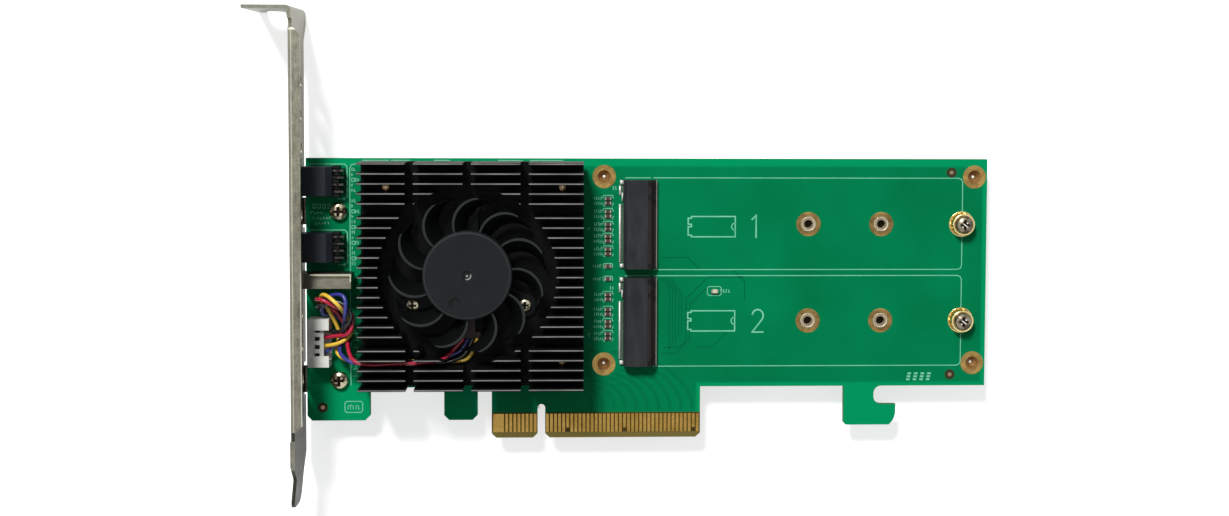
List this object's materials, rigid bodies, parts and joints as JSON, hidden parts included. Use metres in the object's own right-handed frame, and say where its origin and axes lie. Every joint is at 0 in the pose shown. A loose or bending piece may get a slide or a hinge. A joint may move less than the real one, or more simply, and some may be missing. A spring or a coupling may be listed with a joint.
{
  "type": "nvme adapter card",
  "caption": "Expansion card with a slotted steel bracket, a finned black heatsink with a sunken fan, sockets and standoffs for flat solid-state drives, and a gold edge connector.",
  "frame": {"origin": "middle of the card-edge key notch, on the lower edge of the contact tongue, at the board's mid-plane", "axes": "+X along the card away from the bracket, +Y from the card edge to the top edge, +Z out of the component side"},
  "size_m": [0.1795, 0.12, 0.0215],
  "materials": {
    "solder_mask": "green solder mask over woven laminate, satin",
    "gold_plating": "hard gold plating over nickel",
    "bracket_steel": "nickel-plated cold-rolled steel, satin",
    "screw_steel": "nickel-plated steel, bright",
    "chip_substrate": "laminate substrate",
    "chip_lid": "nickel-plated copper lid",
    "thermal_pad": "grey silicone pad",
    "black_anodised": "black anodised extrusion with lighter sawn fin tips",
    "pin_brass": "brass, dulled",
    "fan_plastic": "black glass-filled plastic, fine texture",
    "bearing_bronze": "sintered bronze",
    "lamination_steel": "stacked electrical steel",
    "winding_copper": "enamelled copper wire",
    "driver_laminate": "brown flexible laminate",
    "yoke_steel": "drawn steel",
    "bonded_magnet": "plastic-bonded ferrite",
    "shaft_steel": "ground steel",
    "connector_white": "natural nylon",
    "tinned_leads": "tin-plated copper alloy",
    "wire_red": "red vinyl insulation",
    "wire_yellow": "yellow vinyl insulation",
    "wire_blue": "blue vinyl insulation",
    "wire_black": "black vinyl insulation",
    "led_housing": "black nylon",
    "led_lens": "diffused clear epoxy",
    "port_steel": "tin-plated stamped steel, satin",
    "port_plastic": "black moulded insert",
    "port_gold": "gold-plated contacts",
    "socket_plastic": "black glass-filled plastic",
    "insert_brass": "brass, tinned where soldered",
    "capacitor_ceramic": "tan ceramic",
    "indicator_lens": "pale lens"
  },
  "bodies": {
    "card": {"circuit_board": "solder_mask", "edge_contacts": "gold_plating", "plated_rings": "gold_plating", "bracket": "bracket_steel", "bracket_screws": "screw_steel", "controller_substrate": "chip_substrate", "controller_lid": "chip_lid", "thermal_pad": "thermal_pad", "heatsink": "black_anodised", "push_pins": "pin_brass", "fan_base": "fan_plastic", "fan_screws": "screw_steel", "fan_bearing": "bearing_bronze", "stator_core": "lamination_steel", "stator_coils": "winding_copper", "fan_driver_board": "driver_laminate", "fan_header": "connector_white", "header_pins": "tinned_leads", "fan_plug": "connector_white", "wire_red": "wire_red", "wire_yellow": "wire_yellow", "wire_blue": "wire_blue", "wire_black": "wire_black", "led_block_lower": "led_housing", "led_block_upper": "led_housing", "led_lenses": "led_lens", "led_leads": "tinned_leads", "port_shell": "port_steel", "port_insert": "port_plastic", "port_contacts": "port_gold", "m2_socket_lower": "socket_plastic", "m2_socket_leads_lower": "tinned_leads", "m2_socket_upper": "socket_plastic", "m2_socket_leads_upper": "tinned_leads", "m2_hold_downs": "tinned_leads", "drive_inserts": "insert_brass", "drive_standoffs": "insert_brass", "drive_screws": "screw_steel", "coupling_capacitors": "capacitor_ceramic", "status_indicator": "indicator_lens", "component_terminals": "tinned_leads"},
    "rotor": {"impeller": "fan_plastic", "rotor_yoke": "yoke_steel", "rotor_magnet": "bonded_magnet", "fan_shaft": "shaft_steel"}
  },
  "joints": [
    {"name": "fan_spin", "type": "hinge", "parent": "card", "child": "rotor", "pos_m": [-0.01735, 0.04145, 0.0085], "axis": [0, 0, 1], "continuous": true}
  ]
}
